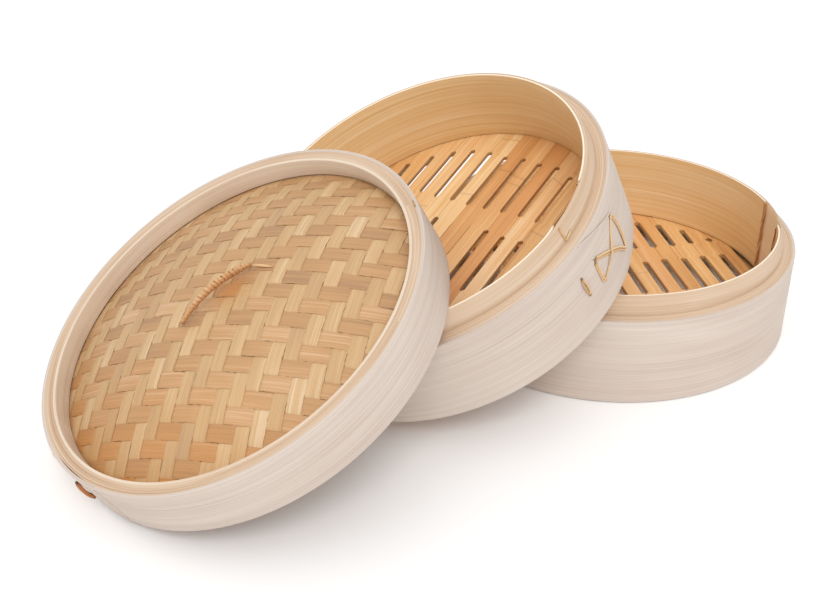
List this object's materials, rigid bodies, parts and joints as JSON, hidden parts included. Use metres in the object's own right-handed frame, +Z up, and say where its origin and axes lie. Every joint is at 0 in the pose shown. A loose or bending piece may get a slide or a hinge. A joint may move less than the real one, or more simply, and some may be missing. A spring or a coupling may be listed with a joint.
{
  "type": "bamboo steamer basket set",
  "caption": "Round bamboo steamer: slatted tiers with bent-veneer walls and a woven domed lid with a wrapped rattan handle, leaning in a cascade.",
  "frame": {"origin": "middle of the bounding box's footprint, on the table that all three rims stand on", "axes": "+Z up; +X from the lid towards the flat lower tier, along the row of tiers; +Y to the back"},
  "size_m": [0.4932, 0.3964, 0.1713],
  "materials": {
    "veneer": "pale bent bamboo veneer, satin, fine lengthwise fibres",
    "core": "warm bamboo, cut edges showing",
    "lining": "golden bamboo inside face, satin",
    "slat": "orange-golden bamboo slats, satin, streaked",
    "bearer": "split bamboo, matte",
    "weave": "split bamboo strips in a two-over-two twill, satin",
    "rattan": "rattan strip, satin"
  },
  "bodies": {
    "lower_tier": {"lower_base_hoop": "bearer", "lower_bow_lacing": "rattan", "lower_core_band": "core", "lower_crossbar_a": "bearer", "lower_crossbar_b": "bearer", "lower_end_stitch": "rattan", "lower_inner_band": "lining", "lower_outer_band": "veneer", "lower_slat_01": "slat", "lower_slat_02": "slat", "lower_slat_03": "slat", "lower_slat_04": "slat", "lower_slat_05": "slat", "lower_slat_06": "slat", "lower_slat_07": "slat", "lower_slat_08": "slat", "lower_slat_09": "slat", "lower_slat_10": "slat", "lower_slat_11": "slat", "lower_slat_12": "slat", "lower_slat_13": "slat", "lower_slat_14": "slat", "lower_slat_15": "slat"},
    "upper_tier": {"upper_base_hoop": "bearer", "upper_bow_lacing": "rattan", "upper_core_band": "core", "upper_crossbar_a": "bearer", "upper_crossbar_b": "bearer", "upper_end_stitch": "rattan", "upper_inner_band": "lining", "upper_outer_band": "veneer", "upper_slat_01": "slat", "upper_slat_02": "slat", "upper_slat_03": "slat", "upper_slat_04": "slat", "upper_slat_05": "slat", "upper_slat_06": "slat", "upper_slat_07": "slat", "upper_slat_08": "slat", "upper_slat_09": "slat", "upper_slat_10": "slat", "upper_slat_11": "slat", "upper_slat_12": "slat", "upper_slat_13": "slat", "upper_slat_14": "slat", "upper_slat_15": "slat"},
    "lid": {"lid_bow_lacing": "rattan", "lid_collar": "core", "lid_core_band": "core", "lid_end_stitch": "rattan", "lid_handle_tail": "rattan", "lid_hoop": "core", "lid_middle_band": "core", "lid_outer_band": "veneer", "lid_rib_a": "bearer", "lid_rib_b": "bearer", "lid_woven_lining": "weave", "lid_woven_top": "weave"},
    "handle": {"lid_handle_core": "rattan", "lid_handle_wrap": "rattan"}
  },
  "joints": [
    {"name": "upper_tier_lift", "type": "slide", "parent": "lower_tier", "child": "upper_tier", "axis": [0, 0, 1], "range_m": [0, 0.12]},
    {"name": "lid_lift", "type": "slide", "parent": "upper_tier", "child": "lid", "axis": [-0.3955, -0.2532, 0.8829], "range_m": [0, 0.12]},
    {"name": "handle_tilt", "type": "hinge", "parent": "lid", "child": "handle", "pos_m": [-0.15264, -0.0901, 0.08881], "axis": [-0.7508, -0.4646, -0.4696], "range_deg": [0, 30]}
  ]
}
